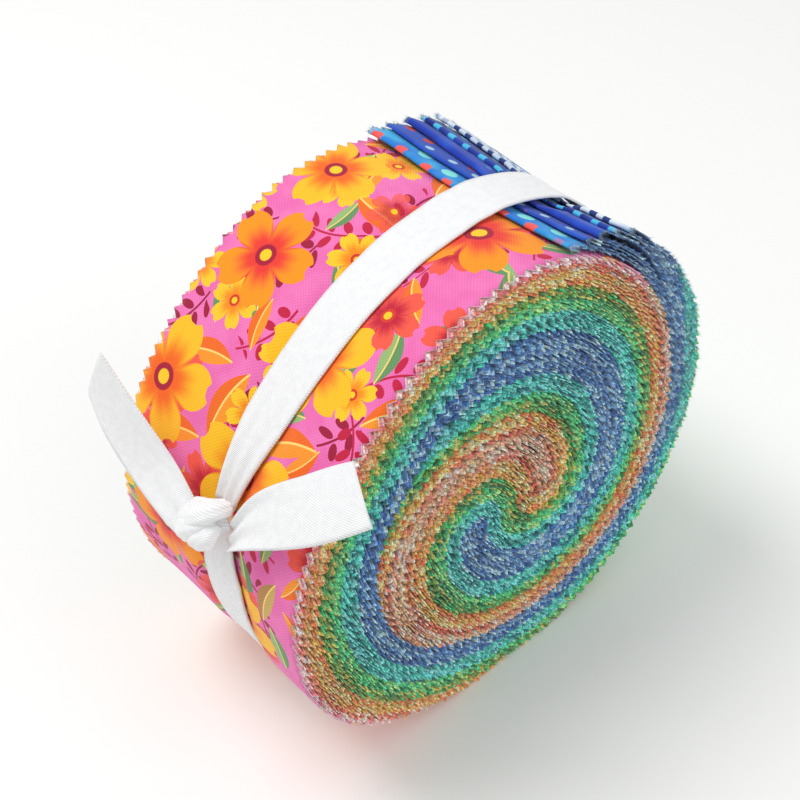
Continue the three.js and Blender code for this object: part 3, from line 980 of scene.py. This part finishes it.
# The free tails: points along the middle of each, the way its width runs there and its share of full width.
FRONT_TAIL = [
    (-68.6, -12.8, 83.4, 0.36, 0.12, 0.92, 0.5),
    (-66.2, -18.7, 91.1, 0.46, 0.17, 0.87, 0.9),
    (-61.6, -29.8, 99.4, 0.51, 0.5, 0.7, 1),
    (-55.0, -39.8, 107.2, 0.4, 0.84, 0.35, 1),
]
BACK_TAIL = [
    (-70.2, -0.4, 77.4, 0.5, -0.2, 0.8, 0.55),
    (-70.6, 3.4, 81.2, 0.42, -0.35, 0.82, 0.78),
    (-69.8, 13.4, 85.6, 0.39, -0.61, 0.69, 0.95),
    (-70.7, 23.0, 94.1, 0.28, -0.55, 0.79, 1),
    (-71.5, 30.3, 102.8, 0.13, -0.35, 0.93, 1),
]


TAIL_ROWS, TAIL_COLUMNS = 70, 17


def tail(name, table, phase, material):
    """A free tail of the ribbon, with soft creases that run out from the knot."""
    course = spline(table, TAIL_ROWS)
    middle, side, share = course[:, :3], unit(course[:, 3:6]), course[:, 6]
    out = unit(np.cross(np.gradient(middle, axis=0), side))
    across = np.linspace(-1, 1, TAIL_COLUMNS)
    place = np.linspace(0, 1, TAIL_ROWS)
    crease = 0.55 * (1 - smooth(0, 0.6, place))[:, None] * np.cos(across * 6.5 + phase)
    bow = 0.5 * np.sin(place * 5 + phase)[:, None] * across**2
    half = TAPE_WIDTH / 2 * share
    points = middle[:, None] + (half[:, None] * across)[..., None] * side[:, None]
    points = points + (crease + bow)[..., None] * out[:, None]
    faces = []
    for face in (-0.5, 0.5):
        moved = points + face * TAPE_THICK * out[:, None]
        faces.append(in_frame(moved[..., 0], moved[..., 1], moved[..., 2]))
    return tape_mesh(name, faces, arc_lengths(middle), across, material)


# Wraps of the knot, as points outwards from the roll, to its front and up the ribbon, with the width there.
# The number after each list is the wrap's thickness.
KNOT_BEARING = 157.0
KNOT_WRAPS = [
    ([(-2.5, -6.6, -4.6, 3.6), (0.6, -3.9, -1.6, 4.4), (3.1, 0.9, 2.4, 4.6), (2.4, 4.6, 5.6, 3.8),
      (-1.2, 5.8, 6.6, 3.0)], 3.3),
    ([(0.8, 4.8, 3.2, 2.4), (2.9, 2.3, 0.6, 3.6), (2.3, -1.6, -2.8, 5.2), (-0.5, -4.9, -5.6, 4.8),
      (-3.0, -6.2, -6.4, 3.6)], 3.1),
    ([(0.6, 5.2, 2.4, 2.6), (2.6, 5.4, -0.4, 4.4), (1.9, 3.4, -3.0, 5.4), (-0.6, 0.8, -5.4, 4.6),
      (-3.2, -1.2, -6.6, 3.4)], 3.2),
    ([(-3.2, -4.4, -3.4, 7.0), (-0.6, -1.4, -1.0, 9.5), (-0.6, 2.0, 1.0, 9.5), (-3.2, 4.6, 3.4, 7.0)], 6.0),
]
KNOT_PLEATS = 6
KNOT_STEPS, KNOT_SIDES = 44, 36


def knot(material):
    """The knot: wraps of the gathered ribbon, with its pleats along them, that cross over a core."""
    low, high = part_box("ribbon_knot")
    middle = (np.array(low) + np.array(high)) / 2
    bearing = math.radians(KNOT_BEARING)
    axes = np.array([
        (math.cos(bearing), 0, math.sin(bearing)),
        (0, -1, 0),
        (math.sin(bearing), 0, -math.cos(bearing)),
    ])
    angle = np.linspace(0, 2 * math.pi, KNOT_SIDES, endpoint=False)
    points, faces, cloth = [], [], []
    for number, (course, deep) in enumerate(KNOT_WRAPS):
        table = spline(course, KNOT_STEPS)
        line, wide = table[:, :3], table[:, 3:]
        along = unit(np.gradient(line, axis=0))
        side = unit(np.cross(along, line + np.array([2.0, 0, 0])))
        up = np.cross(side, along)
        drift = 0.9 * np.sin(np.linspace(0, 3, KNOT_STEPS) + number)[:, None]
        pleat = 1 + 0.13 * np.abs(np.cos(angle * KNOT_PLEATS / 2 + drift + number)) - 0.06
        ring = line[:, None] + (wide / 2 * np.cos(angle) * pleat)[..., None] * side[:, None]
        ring = ring + (deep / 2 * np.sin(angle) * pleat)[..., None] * up[:, None]
        points.append(ring)
        first = number * KNOT_STEPS * KNOT_SIDES
        faces += [[n + first for n in face] for face in ring_faces(KNOT_STEPS, KNOT_SIDES)]
        flat_y = wide * np.sin(angle / 2)
        flat_x = np.repeat(arc_lengths(line)[:, None], KNOT_SIDES, 1)
        cloth.append(np.stack([flat_x, flat_y, np.zeros_like(flat_y)], -1))
    placed = np.concatenate(points) @ axes / 1000 + middle
    return mesh_object("tape_knot", placed, faces, material, np.concatenate(cloth))


stack_material = stack_cloth()
tape_material = white_tape()

outer_material = printed_cotton()
LOOSE_PRINTS = [
    ("cotton_cyan", rgb(34, 120, 214), [(AQUA, 0.5), (rgb(240, 92, 88), 0.34)], 8, rgb(58, 176, 226)),
    ("cotton_azure", rgb(36, 76, 178), [(rgb(214, 52, 52), 0.4), (MIST, 0.3)], 7, rgb(44, 92, 196)),
    ("cotton_royal", rgb(30, 62, 172), [(rgb(64, 118, 204), 0.3)], 6, rgb(42, 84, 196)),
    ("cotton_navy", rgb(30, 48, 132), [(rgb(76, 190, 226), 0.4), (ROYAL, 0.4)], 5, rgb(38, 70, 168)),
    ("cotton_pale", rgb(226, 234, 242), [(rgb(44, 66, 128), 0.5), (SLATE, 0.4)], 4, rgb(198, 214, 230)),
]
loose_materials = [dotted_cotton(place, *look) for place, look in enumerate(LOOSE_PRINTS)]
wound_strips = STRIPS - len(LOOSE_ENDS) - 1
strip_materials = [*loose_materials, *[stack_material] * wound_strips, outer_material]

made_strips = [strip_object(place, strip_materials[place]) for place in range(STRIPS)]
for place, (strip, _) in enumerate(made_strips):
    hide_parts("roll")
    if is_loose(place):
        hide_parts(f"strip_end_{place + 1}")

fray_material = fray_cotton()
for column, way, side_name in ((0, -1.0, "front"), (1, 1.0, "back")):
    edges = [sides[column] for _, sides in made_strips]
    threads = frayed_threads(f"frayed_{side_name}", edges, way, FRAY_SEED + column, fray_material)

band, band_length = tape_band(tape_material)
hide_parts("ribbon_band")
front_tail, front_length = tail("tape_tail_front", FRONT_TAIL, 0.4, tape_material)
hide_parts("ribbon_tail_front")
back_tail, back_length = tail("tape_tail_back", BACK_TAIL, 2.0, tape_material)
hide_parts("ribbon_tail_back")
tied = knot(tape_material)
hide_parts("ribbon_knot")


# Half the floor's width, the room's brightness, each light's place, size and power, and where they point.
FLOOR_HALF = 3.0
ROOM_LIGHT = 0.62
LIGHTS = [("key", (-0.3, 0.3, 0.95), 0.5, 5.0), ("fill", (0.35, -0.95, 0.45), 0.8, 2.2)]
LIGHT_TARGET = Vector((0, 0, 0.06))


def stage():
    """A pale floor, a white room and soft lights from the upper left and the front."""
    mesh = bpy.data.meshes.new("floor")
    corners = [(x * FLOOR_HALF, y * FLOOR_HALF, 0) for x, y in ((-1, -1), (1, -1), (1, 1), (-1, 1))]
    mesh.from_pydata(corners, [], [(0, 1, 2, 3)])
    mesh.materials.append(Nodes("floor_paper", 0.95).finish(rgb(250, 250, 249)))
    floor = add_object("floor", mesh)
    world = bpy.data.worlds.new("room")
    world.use_nodes = True
    background = world.node_tree.nodes["Background"].inputs
    background["Color"].default_value = (1.0, 1.0, 1.0, 1)
    background["Strength"].default_value = ROOM_LIGHT
    bpy.context.scene.world = world
    for name, place, size, power in LIGHTS:
        light = bpy.data.lights.new(name, "AREA")
        light.shape = "DISK"
        light.size = size
        light.energy = power
        aim(add_object(name, light), Vector(place), LIGHT_TARGET - Vector(place))


def aim(made, place, way):
    made.location = place
    made.rotation_mode = "QUATERNION"
    made.rotation_quaternion = way.to_track_quat("-Z", "Y")


# The camera that was fitted to the photograph.
CAMERA_AZIMUTH, CAMERA_ELEVATION = -43.025, 43.018
CAMERA_DISTANCE = 0.370
CAMERA_TARGET = Vector((-0.00384, 0.00652, 0.07488))
FOCAL_PIXELS = 1581.3
PICTURE = 800


def camera():
    azimuth, elevation = math.radians(CAMERA_AZIMUTH), math.radians(CAMERA_ELEVATION)
    back = Vector((
        math.sin(azimuth) * math.cos(elevation),
        -math.cos(azimuth) * math.cos(elevation),
        math.sin(elevation),
    ))
    data = bpy.data.cameras.new("camera")
    data.sensor_width = 36.0
    data.lens = 36.0 * FOCAL_PIXELS / PICTURE
    data.clip_start = 0.01
    made = add_object("camera", data)
    aim(made, CAMERA_TARGET + back * CAMERA_DISTANCE, -back)
    bpy.context.scene.camera = made


stage()
camera()
bpy.context.scene.view_settings.view_transform = "Standard"
